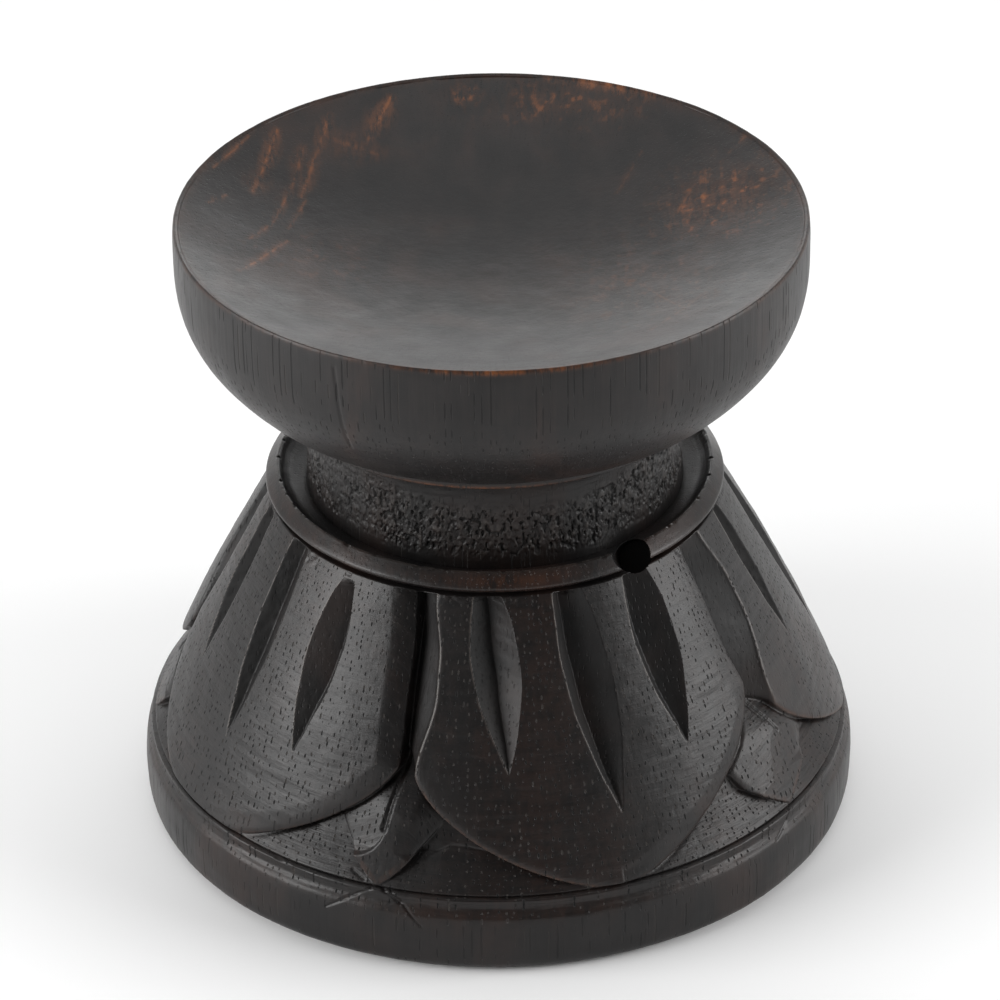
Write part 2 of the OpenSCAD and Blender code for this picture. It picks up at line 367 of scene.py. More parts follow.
# Fine knife lines on the bell and the plinth's shoulder: points as azimuth and
# height, then half width and depth in millimetres.
BELL_KNIFE_LINES = [
    ([(-17.7, 33.6), (-18.8, 28.5), (-20.0, 22.8)], 0.60, 0.60),
    ([(55.9, 32.4), (58.6, 25.4)], 0.35, 0.35),
    ([(55.0, 33.0), (57.1, 27.6)], 0.30, 0.30),
    ([(-12.6, 18.4), (-8.6, 20.4), (-5.4, 20.3), (0.6, 19.2)], 0.30, 0.14),
    ([(-24.6, 15.5), (-22.2, 14.6)], 0.25, 0.30),
    ([(128.2, 33.0), (128.6, 27.0)], 0.35, 0.40),
    ([(200.4, 33.2), (199.8, 24.0)], 0.50, 0.50),
    ([(270.2, 33.0), (270.8, 25.5)], 0.45, 0.45),
]
PLINTH_KNIFE_LINES = [
    ([(-28.2, 8.8), (-24.5, 11.4), (-20.8, 13.7)], 0.25, 0.30),
    ([(-19.0, 14.0), (-15.9, 12.0)], 0.30, 0.35),
    ([(-17.6, 13.9), (-15.4, 11.9), (-12.4, 8.6)], 0.20, 0.25),
    ([(54.1, 13.9), (53.2, 12.2), (49.7, 10.6)], 0.25, 0.25),
    ([(-38.5, 13.8), (-33.0, 13.2), (-25.0, 13.0)], 0.20, 0.18),
    ([(212.0, 13.9), (207.5, 11.8)], 0.25, 0.28),
]


def bell_radius(z):
    """Radius of the petals' outer surface at height z."""
    t = (COLLAR_Z - z) / (COLLAR_Z - PLINTH_H)
    return BELL_TOP_R + (BELL_FOOT_R - BELL_TOP_R) * t + 4 * BELL_BOW * t * (1 - t)


def relief_share(z):
    """How much of the full relief the ground has at height z: almost none at the foot."""
    return np.minimum(1, 0.06 + (z - PLINTH_H) / 6)


def side_reach(z, side):
    """Angle from a petal's middle to its edge: narrow at the waist, wide at the shoulder."""
    widening = (side.shoulder - side.waist) * smooth_step(44, 32, z)
    return side.waist + widening + side.flare * smooth_step(49, 59, z)


def edge_distance(turn, z, side):
    """Distance in mm to a large petal's edge, negative inside it."""
    reach = side_reach(z, side)
    drop = side.shoulder_z - side.tip_z
    u = np.abs(turn) / reach
    v = np.clip((side.shoulder_z - z) / drop, 0, 2)
    value = u ** side.fullness + v ** side.fullness - 1
    across = side.fullness * u ** (side.fullness - 1) / (np.radians(reach) * bell_radius(z))
    down = side.fullness * v ** (side.fullness - 1) / (drop * BELL_SLANT)
    return value / np.maximum(np.hypot(across, down), 1e-3)


def flute_share(t, upper):
    """Half width of a flute as a share of its widest: it swells, then runs to a point."""
    rise = np.sin(np.pi / 2 * np.clip(t / FLUTE_PEAK, 0, 1)) ** 0.8
    fall = np.cos(np.pi / 2 * np.clip((t - FLUTE_PEAK) / (1 - FLUTE_PEAK), 0, 1))
    return (upper + (1 - upper) * rise) * fall


def cut_flute(azimuth, z, flute):
    """Depth of one gouge cut, and masks of the painted highlight past its left edge, its walls and
    its ragged wall.
    """
    top_a, tip_a, top_z, tip_z, half_w, upper, valley = flute
    along = (top_z - z) / (top_z - tip_z)
    t = np.clip(along, 0, 1)
    centre = top_a + (tip_a - top_a) * t ** 0.8
    width = half_w * flute_share(t, upper)
    x = np.radians(wrap(azimuth - centre)) * bell_radius(z)
    x += 0.06 * np.sin(z * 0.7 + top_a)
    bottom = valley * width
    left = x < bottom
    side = np.where(left, width + bottom, width - bottom)
    share = np.abs(x - bottom) / np.maximum(side, 1e-3)
    inside = (along > 0) & (along < 1) & (share < 1)
    hollow = np.where(left, 0.0, 0.35)
    section = (1 - hollow) * (1 - share) + hollow * (1 - np.clip(share, 0, 1) ** 2)
    length_depth = flute_share(t, upper) ** 0.8 * smooth_step(0, 0.05, along)
    depth = np.where(inside, FLUTE_DEPTH * half_w * length_depth * section, 0)
    past_edge = -(x + width)
    # painted highlight: a thin light line just past the flute's left edge
    arris_wear_and_highlight = ridge(past_edge, 0.08, 0.14) * (along > 0.02) * (along < 1)
    narrow = left == (valley < 0)
    return depth, arris_wear_and_highlight, inside, inside & narrow


SCOOP_X = -5.2         # middle of the scooped facet, from the keel
SCOOP_Z = 23.4         # where its straight sides end in a round bottom
SCOOP_R = 5.2
KEEL_H = 2.9           # full height of a small petal's keel above the ground


def small_petal(azimuth, z, keels, left_w, right_w, curve, scoop):
    """Distance to a small petal's outline, its height above the ground, and its rolled edge."""
    middle = np.interp(z, KEEL_HEIGHTS, keels)
    x = np.radians(wrap(azimuth - middle)) * bell_radius(z)
    t = np.clip((z - 14.4) / 10.9, 0, 1)
    distance = np.abs(x) - np.where(x < 0, left_w, right_w) * t ** curve
    inner = np.clip(-distance, 0, 10)
    right = KEEL_H - 0.08 * np.abs(x) - 2.2 * smooth_step(0.35, 1.0, x / right_w)
    left = KEEL_H - 0.14 * np.abs(x) - 0.12 * np.maximum(1.4 - inner, 0)
    past_scoop = np.hypot(x - SCOOP_X, np.minimum(z - SCOOP_Z, 0)) - SCOOP_R
    facet = 2.5 + 0.25 * np.minimum(x, 0) + 2.2 * np.maximum(past_scoop + 0.2, 0)
    left = np.where(scoop > 0, np.minimum(left, facet + 3 * (1 - scoop)), left)
    height = np.where(x > 0, right, left) - 0.5 * smooth_step(18, 14.5, z)
    rolled = smooth_step(1.9, 1.3, inner) * smooth_step(20, 17, z)
    return distance, height, rolled


def knife_line(azimuth, z, radius, line):
    """Depth of a thin V cut along a few straight stretches, fading at its ends."""
    points, half_w, depth = line
    middle = points[0][0]
    near = np.abs(wrap(azimuth - middle)) < 25
    x = np.radians(wrap(azimuth[near] - middle)) * radius[near]
    y = z[near]
    cut = np.zeros(x.shape)
    mean_r = radius[near].mean()
    flat = [(math.radians(a - middle) * mean_r, h) for a, h in points]
    x = x * mean_r / radius[near]
    for (x0, y0), (x1, y1) in zip(flat, flat[1:]):
        run = (x1 - x0) ** 2 + (y1 - y0) ** 2
        t = np.clip(((x - x0) * (x1 - x0) + (y - y0) * (y1 - y0)) / run, 0, 1)
        away = np.hypot(x - x0 - t * (x1 - x0), y - y0 - t * (y1 - y0))
        cut = np.maximum(cut, np.clip(1 - away / half_w, 0, 1))
    result = np.zeros(azimuth.shape)
    result[near] = depth * cut
    return result


def carve_petals(azimuth, z, surface, points):
    """Radius of the large petals with their flutes, masks of their surface, and the
    depth of the crease that is cut into the ground round their tips.
    """
    petals = np.full(len(z), -1e3)
    wear = np.zeros(len(z))
    arris_wear_and_highlight = np.zeros(len(z))
    crease = np.zeros(len(z))
    rolled = np.zeros(len(z))
    outside = np.full(len(z), 99.0)
    valley_depth = VALLEY_DEPTH * (1 - 0.35 * smooth_step(50, 59, z))
    stand = relief_share(z)
    for index, petal in enumerate(PETALS):
        turn = wrap(azimuth - petal["middle"])
        near = np.abs(turn) < 50
        for way, name in ((-1, "left"), (1, "right")):
            side = petal[name]
            part = near & ((turn >= 0) == (way > 0))
            valley = VALLEYS[index if way > 0 else index - 1]
            distance = edge_distance(turn[part], z[part], side)
            reach = side_reach(z[part], side)
            # 0 beside the V cuts, 1 at the sharp edge of the tip
            steep = smooth_step(side.shoulder_z + 3.0, side.shoulder_z - 1.1, z[part])
            gap_angle = abs(wrap(valley - petal["middle"])) - reach
            gap = np.radians(gap_angle) * surface[part]
            flank = np.maximum(gap, 0.6) * (1 - steep) + 0.30 * steep
            depth = valley_depth[part] * (1 - steep) + (RELIEF + 1.5) * steep
            share = distance / flank
            drop = depth * (np.clip(share, 0, 1) ** 0.85 + 3 * np.clip(share - 1, 0, 9))
            inner = np.clip(-distance, 0, 30)
            drop += (0.08 + 0.26 * steep) * np.exp(-(inner / (0.25 + 0.35 * steep)) ** 1.3)
            if way > 0:
                round_over = np.clip(1 - inner / ROLL_W, 0, 1)
                roll = side.roll * (1 - steep) + side.tip_roll * steep * stand[part]
                drop += roll * round_over ** 1.6
                flat = side.tip_roll * smooth_step(0.05, 0.35, round_over) * steep
                rolled[part] = np.maximum(rolled[part], np.minimum(flat, 1))
            petals[part] = np.maximum(petals[part], surface[part] - drop)
            outside[part] = np.minimum(outside[part], distance)
            edge = ridge(distance, -0.25, 0.30)
            wear[part] += (0.30 if way < 0 else 0.08) * edge * steep
            thin_edge = ridge(distance, -0.10, 0.14)
            # painted highlight, with some wear: a thin light line along the left edges only
            arris_wear_and_highlight[part] += thin_edge * (1 - 0.6 * steep) * (way < 0)
            foot = ridge(distance, 0.5, 0.28) * (distance > 0.15)
            crease[part] += 0.35 * stand[part] * foot * steep
    petals += 0.08 * layered_noise(points, (9, 9, 6), 21)
    petals += 0.030 * lattice_noise(points, (7, 7, 0.9), 24)
    plain = np.maximum(rolled, smooth_step(0.1, 0.4, outside))
    # painted shade: the walls of the V cuts beside each petal are painted darker
    painted_shade = 0.35 * smooth_step(0.1, 0.4, outside)
    fine = layered_noise(points, (0.9, 0.9, 1.6), 25, 2)
    for flute in FLUTES:
        cut, edge, walls, ragged = cut_flute(azimuth, z, flute)
        petals += np.where(ragged, 0.11, 0.02) * fine * walls - cut
        arris_wear_and_highlight = np.where(walls, 0, np.maximum(arris_wear_and_highlight, edge))
        plain = np.maximum(plain, walls)
        # painted shade in the flutes: their walls, the narrow ones most, are painted darker
        painted_shade = np.maximum(painted_shade, np.where(ragged, 0.65, 0.25) * walls)
    wear = np.clip(wear, 0, 1)
    arris_wear_and_highlight = np.clip(arris_wear_and_highlight, 0, 1)
    return petals, {"wear": wear, "arris_wear_and_highlight": arris_wear_and_highlight, "plain": plain, "pits_and_painted_shade": painted_shade}, crease


def carve_bell(azimuth, z):
    """Radius of the carved bell, and the masks of its surface."""
    surface = bell_radius(z)
    points = to_xyz(azimuth, surface, z)
    field = FIELD_Z - z                          # positive in the open field at the foot
    ground = surface - RELIEF * relief_share(z)
    ground -= (VALLEY_DEPTH - RELIEF) * smooth_step(6, 1, field)
    ground += 0.09 * layered_noise(points, (5, 5, 7), 11) * smooth_step(PLINTH_H, PLINTH_H + 2, z)
    ground -= 4 * smooth_step(0, -6, field)
    shape = ground
    tips = np.zeros(len(z))
    for small in SMALL_PETALS:
        distance, height, tip = small_petal(azimuth, z, *small)
        inside = smooth_step(0.12, -0.12, distance) * (field > 0)
        rise = smooth_step(0, 8, field)
        edge_drop = 0.1 * ridge(distance, -0.1, 0.4)
        leaf = ground + np.clip(height, -0.2, 3) * rise - edge_drop
        shape = shape + inside * (np.minimum(leaf, surface - 0.3) - shape)
        tips += inside * tip
    petals, masks, crease = carve_petals(azimuth, z, surface, points)
    on_petal = petals > shape
    shape = np.maximum(shape - crease, petals)
    for line in BELL_KNIFE_LINES:
        cut = knife_line(azimuth, z, surface, line)
        shape -= np.where(on_petal, 0, cut)
    rough = layered_noise(points, (0.9, 0.9, 0.7), 31, 2)
    chipped = smooth_step(-0.1, 0.5, lattice_noise(points, (4, 4, 9), 33))
    chipped *= smooth_step(56.4, 57.6, z)
    shape += 0.32 * chipped * np.minimum(rough, 0.2)
    masks = {key: mask * on_petal for key, mask in masks.items()}
    masks["wear"] = masks["wear"] + 0.14 * tips * ~on_petal
    masks["pored"] = 1 - 0.85 * masks.pop("plain")
    return shape, masks


def build_bell():
    foot = smooth_curve([(AXIS_R, PLINTH_H), (BELL_FOOT_R - 0.8, PLINTH_H)], 8)
    heights = np.linspace(PLINTH_H, COLLAR_Z, 290)
    side = np.c_[bell_radius(heights), heights]
    top = smooth_curve([(BELL_TOP_R - 0.2, COLLAR_Z), (AXIS_R, COLLAR_Z)], 6)
    outline = join_outline(foot, side, top)
    azimuth, r, z, row = turned_grid(outline)
    shape, masks = carve_bell(azimuth, z)
    shape -= 0.7 * np.clip(1 - (z - PLINTH_H) / 0.4, 0, 1)
    on_side = (row >= len(foot)) & (row < len(foot) + len(side) - 1)
    points = to_xyz(azimuth, np.where(on_side, shape, r), z)
    masks = {key: mask * on_side for key, mask in masks.items()}
    return make_piece("bell_carving", points, len(outline), masks)


# ------------------------------------------------------- the other turned pieces

# Where the stain on the dish is rubbed through to orange wood: streaks as their two
# ends in x and y, half width and strength, then round patches with their size.
STREAKS = [
    ((-36.0, 33.6), (-38.2, 22.0), 0.9, 1.0),
    ((-38.0, 23.0), (-39.6, 16.0), 1.3, 0.7),
    ((-27.3, 39.8), (-29.2, 30.0), 0.8, 0.9),
    ((-29.4, 30.0), (-31.6, 17.5), 0.9, 0.8),
    ((-31.4, 31.0), (-32.8, 22.0), 0.9, 0.8),
    ((-33.0, 21.0), (-36.0, 8.0), 0.6, 0.8),
    ((-36.2, 7.5), (-39.6, 0.6), 0.5, 0.7),
    ((-30.8, 17.0), (-33.4, 7.0), 0.5, 0.7),
    ((-17.0, 45.6), (-20.6, 35.5), 1.2, 0.9),
    ((-46.2, 19.4), (-40.6, 30.4), 0.35, 0.7),
    ((-46.6, 8.8), (-43.9, 12.8), 0.45, 0.8),
    ((-33.5, 3.0), (-40.8, -11.7), 0.6, 0.7),
    ((-28.0, 34.5), (-19.0, 32.0), 2.6, 0.42),
    ((21.0, 20.0), (25.6, 30.0), 0.5, 0.35),
    ((34.0, 18.0), (29.6, 9.0), 0.8, 0.5),
    ((24.0, -10.0), (30.5, -24.0), 0.7, 0.30),
    ((35.0, -18.0), (25.0, -32.0), 0.8, 0.28),
    ((40.0, 24.0), (44.0, 29.0), 0.6, 0.35),
]
PATCHES = [
    (11.0, 44.6, 10.0, 4.0, 0.55),
    (20.0, 41.5, 6.0, 4.0, 0.35),
    (-4.6, 47.0, 2.6, 1.8, 0.75),
    (38.0, 11.0, 8.5, 8.5, 0.95),
    (43.5, 8.0, 4.0, 5.0, 0.6),
    (31.0, 11.5, 2.2, 4.0, 0.8),
    (-30.0, -1.0, 9.0, 8.0, 0.22),
    (26.0, -12.0, 12.0, 16.0, 0.20),
]
CRACK = ([(-28.4, 106.0), (-27.6, 98.0), (-27.0, 90.5)], 0.30, 0.14)


def streak_mask(x, y, streak):
    """A bright scratch, inside a wider and dimmer one, between two points of the dish."""
    (x0, y0), (x1, y1), half_w, strength = streak
    run = (x1 - x0) ** 2 + (y1 - y0) ** 2
    t = ((x - x0) * (x1 - x0) + (y - y0) * (y1 - y0)) / run
    held = np.clip(t, 0, 1)
    away = np.hypot(x - x0 - held * (x1 - x0), y - y0 - held * (y1 - y0))
    width = half_w * (0.5 + 0.6 * np.sin(np.pi * held))
    scratch = ridge(away, 0, 0.30 * width + 0.12)
    return strength * np.maximum(scratch, 0.45 * ridge(away, 0, 1.5 * width))


def dish_wear(points, azimuth, z, hollow):
    """Where the stain is rubbed thin: streaks and patches in the hollow, and the rim's edge."""
    x, y = points[:, 0], points[:, 1]
    flecks = layered_noise(points, (1.3, 3.4, 9), 64, 3)
    rubbed = np.zeros(len(x))
    for streak in STREAKS:
        rubbed = np.maximum(rubbed, streak_mask(x, y, streak))
    rubbed *= 0.75 + 0.45 * flecks
    speckles = smooth_step(0.1, 0.9, layered_noise(points, (1.1, 1.4, 9), 65, 3))
    for at_x, at_y, wide, long, strength in PATCHES:
        patch = strength * ridge(x, at_x, wide) * ridge(y, at_y, long)
        rubbed = np.maximum(rubbed, patch * (0.22 + 1.1 * speckles))
    rim = ridge(z, TOTAL_H - 0.25, 0.45)
    front = facing(azimuth, 2, 22) ** 0.6
    back = facing(azimuth, 157, 14) ** 0.7
    rim *= np.maximum(0.10, np.maximum(front, 0.9 * back) * (0.75 + 0.5 * flecks))
    return np.clip(np.where(hollow, rubbed, 0) + rim, 0, 1)


def build_dish():
    seam = smooth_curve([(AXIS_R, DISH_Z), (FLANGE_R + 0.3, DISH_Z)], 6)
    wall = smooth_curve([(FLANGE_R + 0.3, DISH_Z), (41.2, DISH_Z + 0.6), (44.4, DISH_Z + 3.2),
                         (47.4, DISH_Z + 6.5), (49.6, DISH_Z + 9.7), (51.0, DISH_Z + 12.8),
                         (51.75, DISH_Z + 15.9), (RIM_R, DISH_Z + 19.4), (RIM_R, TOTAL_H - 2.4),
                         (RIM_R - 0.1, TOTAL_H - 0.5)], 0.3)
    rim = smooth_curve([(RIM_R - 0.1, TOTAL_H - 0.5), (RIM_R - 0.25, TOTAL_H - 0.1),
                        (RIM_R - 0.45, TOTAL_H - 0.04), (RIM_R - 0.70, TOTAL_H - 0.20),
                        (RIM_R - 0.95, TOTAL_H - 0.37)], 0.12)
    radius = (RIM_R ** 2 + DISH_DEPTH ** 2) / (2 * DISH_DEPTH)
    across = np.linspace(RIM_R - 0.95, 0.4, 190)
    hollow_z = TOTAL_H - DISH_DEPTH + radius - np.sqrt(radius ** 2 - across ** 2)
    outline = join_outline(seam, wall, rim, np.c_[across, hollow_z])
    azimuth, r, z, row = turned_grid(outline)
    normal = grid_normals(outline)
    hollow = row >= len(outline) - len(across)
    points = to_xyz(azimuth, r, z)
    lift = np.where(hollow, 0.14, 0.05) * layered_noise(points, (18, 18, 18), 61, 2)
    lift += 0.025 * layered_noise(points, (2.5, 2.5, 6), 62, 2)
    lift[row < len(seam)] = 0
    past_facet = np.maximum(points[:, 0] - 0.19 * (points[:, 1] - 30), 0)
    facet = 0.020 * np.minimum(past_facet, 14) * smooth_step(4, 24, points[:, 1])
    fading = smooth_step(0, 3, r) * smooth_step(RIM_R - 0.5, RIM_R - 5, r)
    lift = np.where(hollow, (lift + facet) * fading, lift)
    crack = knife_line(azimuth, z, np.maximum(r, 1), CRACK)
    lift -= np.where(hollow | (row < len(seam)), 0, crack)
    r = np.minimum(r + lift * normal[:, 0], RIM_R + 0.3)
    z = z + lift * normal[:, 1]
    points = to_xyz(azimuth, r, z)
    wear = dish_wear(points, azimuth, z, hollow)
    masks = {"wear": wear, "pored": np.where(hollow, 0.10, 0.55)}
    return make_piece("dish_turning", points, len(outline), masks)


def build_neck():
    flange_z = DISH_Z - FLANGE_H
    foot = smooth_curve([(AXIS_R, COLLAR_Z), (NECK_R + 0.4, COLLAR_Z)], 6)
    cove = smooth_curve([(NECK_R + 0.4, COLLAR_Z), (NECK_R + 0.3, COLLAR_Z + 3),
                         (NECK_R, COLLAR_Z + 7), (NECK_R, COLLAR_Z + 12),
                         (NECK_R + 0.6, COLLAR_Z + 16), (NECK_R + 2.2, flange_z - 1),
                         (NECK_R + 4.4, flange_z - 0.15), (FLANGE_R - 0.35, flange_z)], 0.14)
    edge = smooth_curve([(FLANGE_R - 0.35, flange_z), (FLANGE_R, flange_z + 0.4),
                         (FLANGE_R, DISH_Z - 0.4), (FLANGE_R - 0.5, DISH_Z)], 0.16)
    top = smooth_curve([(FLANGE_R - 0.5, DISH_Z), (AXIS_R, DISH_Z)], 6)
    outline = join_outline(foot, cove, edge, top)
    azimuth, r, z, row = turned_grid(outline)
    normal = grid_normals(outline)
    visible = (row > len(foot)) & (row < len(outline) - len(top))
    points = to_xyz(azimuth, r, z)
    sideways = np.abs(np.sin(np.radians(azimuth)))
    upper = COLLAR_Z + 12.0 + 5.0 * sideways ** 2 + 2.0 * lattice_noise(points, (12, 12, 40), 70)
    band = smooth_step(upper + 1.5, upper - 2, z) * smooth_step(COLLAR_Z + 2.4, COLLAR_Z + 5, z)
    patch = smooth_step(-0.6, 0.3, layered_noise(points, (7, 7, 6), 71, 2) + 0.3 * sideways)
    torn = np.clip(band * (0.30 + 0.70 * patch), 0, 1)
    chips = layered_noise(points, (0.55, 0.55, 0.95), 72, 2)
    pits = smooth_step(0.10, 0.60, layered_noise(points, (0.50, 0.50, 0.80), 75, 2))
    lift = torn * (0.15 * chips - 0.34 * pits)
    lift += 0.03 * layered_noise(points, (3, 3, 0.8), 76, 2)
    lift = np.where(visible, lift, 0)
    points = to_xyz(azimuth, r + lift * normal[:, 0], z + lift * normal[:, 1])
    wear = 0.6 * ridge(z, flange_z + 0.2, 0.40) * facing(azimuth, -4, 30)
    masks = {"wear": np.where(visible, wear, 0), "pits_and_painted_shade": 0.7 * torn * pits,
             "arris_wear_and_highlight": 0.34 * torn * np.clip(chips, 0, 1), "pored": np.full(len(z), 0.5)}
    return make_piece("neck_turning", points, len(outline), masks)


def build_collar():
    crest = COLLAR_TOP
    under = smooth_curve([(COLLAR_R - 1.7, COLLAR_Z), (COLLAR_R - 1.0, COLLAR_Z + 0.55),
                          (COLLAR_R - 0.3, COLLAR_Z + 1.15), (COLLAR_R, COLLAR_Z + 1.55)], 0.14)
    face = smooth_curve([(COLLAR_R, COLLAR_Z + 1.55), (COLLAR_R - 0.15, COLLAR_Z + 2.0),
                         (COLLAR_R - 1.0, COLLAR_Z + 2.9), (COLLAR_R - 1.85, crest - 0.08)], 0.14)
    slope = smooth_curve([(COLLAR_R - 1.85, crest - 0.08), (COLLAR_R - 2.15, crest),
                          (COLLAR_R - 2.5, crest - 0.25), (COLLAR_R - 3.2, crest - 1.3),
                          (COLLAR_R - 4.4, crest - 2.2), (NECK_R + 0.9, crest - 2.5),
                          (BORE_R, crest - 2.6)], 0.14)
    seat_in = smooth_curve([(BORE_R, crest - 2.6), (BORE_R, COLLAR_Z)], 0.6)
    seat = smooth_curve([(BORE_R, COLLAR_Z), (COLLAR_R - 1.7, COLLAR_Z)], 1.2)
    outline = join_outline(under, face, slope, seat_in, seat)[:-1]
    azimuth, r, z, _ = turned_grid(outline)
    points = to_xyz(azimuth, r, z)
    lift = 0.05 * layered_noise(points, (7, 7, 3), 81)
    r = r + np.where(z > COLLAR_Z + 0.1, lift, 0)
    edge = ridge(r, COLLAR_R - 2.2, 0.35) * (z > COLLAR_Z + 2)
    chipped = smooth_step(0.0, 0.8, layered_noise(points, (1.1, 1.1, 3), 83, 2))
    z = z - 0.30 * edge * chipped
    points = to_xyz(azimuth, r, z)
    wear = 0.15 * ridge(r, COLLAR_R - 0.8, 0.8) * (z > COLLAR_Z + 1)
    wear *= 0.3 + facing(azimuth, 3, 20)
    masks = {"wear": wear, "arris_wear_and_highlight": 0.35 * edge, "pored": np.full(len(z), 0.12)}
    return make_ring("collar_turning", points, len(outline), masks)


def build_plinth():
    band = PLINTH_H - 2.9
    under = smooth_curve([(AXIS_R, 0), (BASE_R - 2.6, 0)], 6)
    side = smooth_curve([(BASE_R - 2.6, 0), (BASE_R - 1.6, 0.25), (BASE_R - 0.7, 1.0),
                         (BASE_R - 0.2, 2.4), (BASE_R, 5.7), (BASE_R - 0.1, 8.5),
                         (BASE_R - 0.35, band - 0.8), (BASE_R - 0.75, band + 0.1),
                         (BASE_R - 1.3, band + 1.3), (BELL_FOOT_R + 0.1, PLINTH_H - 0.45),
                         (BELL_FOOT_R - 0.15, PLINTH_H - 0.15), (BELL_FOOT_R - 0.8, PLINTH_H)], 0.2)
    top = smooth_curve([(BELL_FOOT_R - 0.8, PLINTH_H), (AXIS_R, PLINTH_H)], 6)
    outline = join_outline(under, side, top)
    azimuth, r, z, row = turned_grid(outline)
    normal = grid_normals(outline)
    visible = (row >= len(under)) & (row < len(under) + len(side) - 2)
    points = to_xyz(azimuth, r, z)
    shoulder = smooth_step(band - 0.2, band + 0.6, z)
    lift = 0.06 * layered_noise(points, (14, 14, 5), 91)
    lift += 0.02 * layered_noise(points, (2, 2, 5), 92, 2)
    lift += 0.07 * shoulder * layered_noise(points, (9, 9, 0.55), 93, 2)
    for line in PLINTH_KNIFE_LINES:
        lift -= knife_line(azimuth, z, np.maximum(r, 1), line)
    lift = np.where(visible & (z > 0.05), lift, 0)
    r = r + lift * normal[:, 0]
    foot_z = np.maximum(z + lift * normal[:, 1], 0)
    points = to_xyz(azimuth, r, foot_z)
    wear = 0.06 * ridge(z, band, 0.8)
    masks = {"wear": wear, "pored": 0.40 + 0.60 * shoulder}
    return make_piece("plinth_turning", points, len(outline), masks)


# ------------------------------------------------------------------ materials

ARC_R = 0.05           # radius, in metres, on which lengths round the axis are measured
MIX_COLOUR_INPUTS = (6, 7)  # sockets of the Mix node that hold its two colours
MIX_COLOUR_OUTPUT = 2


class Nodes:
    """Adds and links the shader nodes of one material."""

    def __init__(self, name):
        self.material = bpy.data.materials.new(name)
        self.material.use_nodes = True
        self.tree = self.material.node_tree
        self.shader = self.tree.nodes["Principled BSDF"]

    def add(self, kind, **values):
        node = self.tree.nodes.new(kind)
        for key, value in values.items():
            setattr(node, key, value)
        return node

    def link(self, source, target):
        self.tree.links.new(source, target)

    def math(self, operation, a, b=None):
        node = self.add("ShaderNodeMath", operation=operation)
        for index, value in enumerate((a, b)):
            if value is None:
                continue
            if isinstance(value, (int, float)):
                node.inputs[index].default_value = value
            else:
                self.link(value, node.inputs[index])
        return node.outputs[0]

    def weighted(self, *pairs):
        """The sum of sockets, each times its weight."""
        total = None
        for value, weight in pairs:
            share = self.math("MULTIPLY", value, weight)
            total = share if total is None else self.math("ADD", total, share)
        return total

    def scaled(self, scale):
        """Object coordinates in metres times a per-axis scale."""
        coord = self.add("ShaderNodeTexCoord")
        mapping = self.add("ShaderNodeMapping")
        mapping.inputs["Scale"].default_value = scale
        self.link(coord.outputs["Object"], mapping.inputs["Vector"])
        return mapping.outputs["Vector"]

    def noise(self, scale, detail=4.0, roughness=0.55, distortion=0.0):
        node = self.add("ShaderNodeTexNoise")
        node.inputs["Scale"].default_value = 1.0
        node.inputs["Detail"].default_value = detail
        node.inputs["Roughness"].default_value = roughness
        node.inputs["Distortion"].default_value = distortion
        self.link(self.scaled(scale), node.inputs["Vector"])
        return node.outputs["Fac"]

    def ramp(self, value, low, high):
        """Maps low..high smoothly to 0..1."""
        node = self.add("ShaderNodeMapRange", interpolation_type="SMOOTHSTEP")
        node.inputs["From Min"].default_value = low
        node.inputs["From Max"].default_value = high
        self.link(value, node.inputs["Value"])
        return node.outputs["Result"]

    def mix(self, factor, a, b):
        node = self.add("ShaderNodeMix", data_type="RGBA")
        self.link(factor, node.inputs["Factor"])
        for index, value in zip(MIX_COLOUR_INPUTS, (a, b)):
            if isinstance(value, tuple):
                node.inputs[index].default_value = (*value, 1)
            else:
                self.link(value, node.inputs[index])
        return node.outputs[MIX_COLOUR_OUTPUT]

    def vector(self, operation, a, b):
        """A vector node's outputs; b is a socket or a constant."""
        node = self.add("ShaderNodeVectorMath", operation=operation)
        self.link(a, node.inputs[0])
        if isinstance(b, tuple):
            node.inputs[1].default_value = b
        elif b is not None:
            self.link(b, node.inputs[1])
        return node.outputs

    def attribute(self, name):
        node = self.add("ShaderNodeAttribute", attribute_name=name)
        return node.outputs["Fac"]

    def bump(self, height, strength, distance, below=None):
        node = self.add("ShaderNodeBump")
        node.inputs["Strength"].default_value = strength
        node.inputs["Distance"].default_value = distance
        self.link(height, node.inputs["Height"])
        if below is not None:
            self.link(below, node.inputs["Normal"])
        return node.outputs["Normal"]

    def around_axis(self):
        """Arc length round the axis on a 50 mm radius, the radius and the height, in metres."""
        coord = self.add("ShaderNodeTexCoord")
        split = self.add("ShaderNodeSeparateXYZ")
        self.link(coord.outputs["Object"], split.inputs["Vector"])
        x, y = split.outputs["X"], split.outputs["Y"]
        turn = self.math("ARCTAN2", x, self.math("MULTIPLY", y, -1.0))
        arc = self.math("MULTIPLY", turn, ARC_R)
        radius = self.math("SQRT", self.weighted((x, x), (y, y)))
        return arc, radius, split.outputs["Z"]

    def joined(self, x, y, z=None):
        node = self.add("ShaderNodeCombineXYZ")
        for index, value in enumerate((x, y, z)):
            if value is not None:
                self.link(value, node.inputs[index])
        return node.outputs["Vector"]


